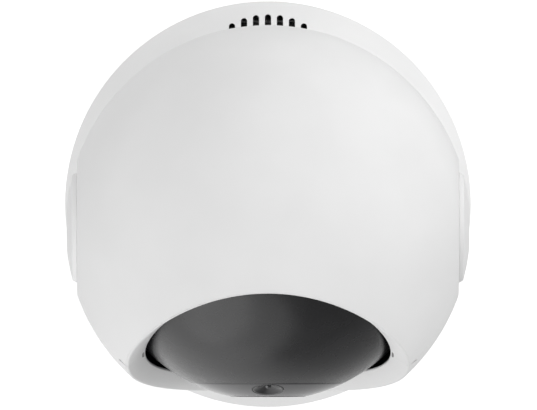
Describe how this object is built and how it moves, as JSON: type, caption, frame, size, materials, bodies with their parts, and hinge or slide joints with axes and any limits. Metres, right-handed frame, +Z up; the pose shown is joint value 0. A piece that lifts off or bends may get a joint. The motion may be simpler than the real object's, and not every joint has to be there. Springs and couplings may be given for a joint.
{
  "type": "pan-tilt security camera",
  "caption": "Ball-headed indoor camera: a fixed round base, a turning body with a white ball, and a black lens ball that tilts inside it.",
  "frame": {"origin": "on the pan axis, level with the underside of the foot ring", "axes": "+Z up along the pan axis, the lens looks along -Y, +X to the right of a viewer who faces the lens from behind the camera"},
  "size_m": [0.085, 0.085, 0.1137],
  "materials": {
    "white_shell": "fine satin moulded white",
    "black_shell": "smooth black",
    "window_plastic": "polished dark grey",
    "tinted_window": "infrared pass black",
    "lens_cover": "tinted clear",
    "lens": "coated",
    "barrel_black": "black",
    "led_clear": "clear epoxy",
    "board": "green solder mask",
    "gear_plastic": "acetal",
    "grey_plastic": "moulded grey",
    "speaker_black": "black",
    "lead": "soft insulation",
    "rubber": "matt black",
    "steel": "plated",
    "motor_steel": "zinc plated",
    "brass": "turned"
  },
  "bodies": {
    "base": {"base_housing": "white_shell", "bottom_cover": "white_shell", "tripod_insert": "brass", "foot_ring": "rubber", "base_screws": "steel", "pan_gear": "gear_plastic", "retaining_ring": "steel", "power_board": "board", "usb_socket": "steel", "power_board_screws": "steel", "power_lead": "lead"},
    "reset_key": {"reset_button": "grey_plastic"},
    "turning_body": {"pan_plate": "grey_plastic", "pan_bush": "gear_plastic", "pan_motor": "motor_steel", "pan_motor_screws": "steel", "main_board": "board", "main_board_screws": "steel", "housing_screws": "steel", "shell_screws": "steel", "lower_housing": "white_shell", "speaker": "speaker_black", "ball_upper_shell": "white_shell", "ball_lower_shell": "white_shell", "tilt_gear": "gear_plastic", "tilt_bush": "gear_plastic", "side_screws": "steel", "side_cap_right": "white_shell", "side_cap_left": "white_shell"},
    "pan_drive": {"pan_pinion": "gear_plastic", "pan_motor_shaft": "steel"},
    "lens_head": {"tilt_axle_right": "steel", "tilt_axle_left": "steel", "head_front_shell": "black_shell", "head_rear_shell": "black_shell", "head_screws": "steel", "front_window": "window_plastic", "ir_windows": "tinted_window", "lens_glass": "lens_cover", "lens_barrel": "barrel_black", "front_lens": "lens", "lens_holder": "barrel_black", "sensor_board": "board", "sensor_screws": "steel", "led_board": "board", "ir_leds": "led_clear", "tilt_motor": "motor_steel", "tilt_motor_screws": "steel"},
    "tilt_drive": {"tilt_motor_shaft": "steel", "tilt_pinion": "gear_plastic"}
  },
  "joints": [
    {"name": "pan", "type": "hinge", "parent": "base", "child": "turning_body", "pos_m": [0, 0, 0.014], "axis": [0, 0, 1], "range_deg": [-170, 170]},
    {"name": "pan_pinion_spin", "type": "hinge", "parent": "turning_body", "child": "pan_drive", "pos_m": [0, -0.024, 0.014], "axis": [0, 0, 1], "range_deg": [-680, 680]},
    {"name": "tilt", "type": "hinge", "parent": "turning_body", "child": "lens_head", "pos_m": [0, -0.00486, 0.0718], "axis": [-1, 0, 0], "range_deg": [-20, 60]},
    {"name": "tilt_pinion_spin", "type": "hinge", "parent": "lens_head", "child": "tilt_drive", "pos_m": [0.03, 0.00774, 0.0718], "axis": [-1, 0, 0], "range_deg": [-50, 150]},
    {"name": "reset_press", "type": "slide", "parent": "base", "child": "reset_key", "axis": [0, -1, 0], "range_m": [0, 0.0006], "stiffness_N_per_m": 500}
  ],
  "couplings": [
    {"joint": "pan_pinion_spin", "follows": "pan", "ratio": 4},
    {"joint": "tilt_pinion_spin", "follows": "tilt", "ratio": 2.5}
  ]
}
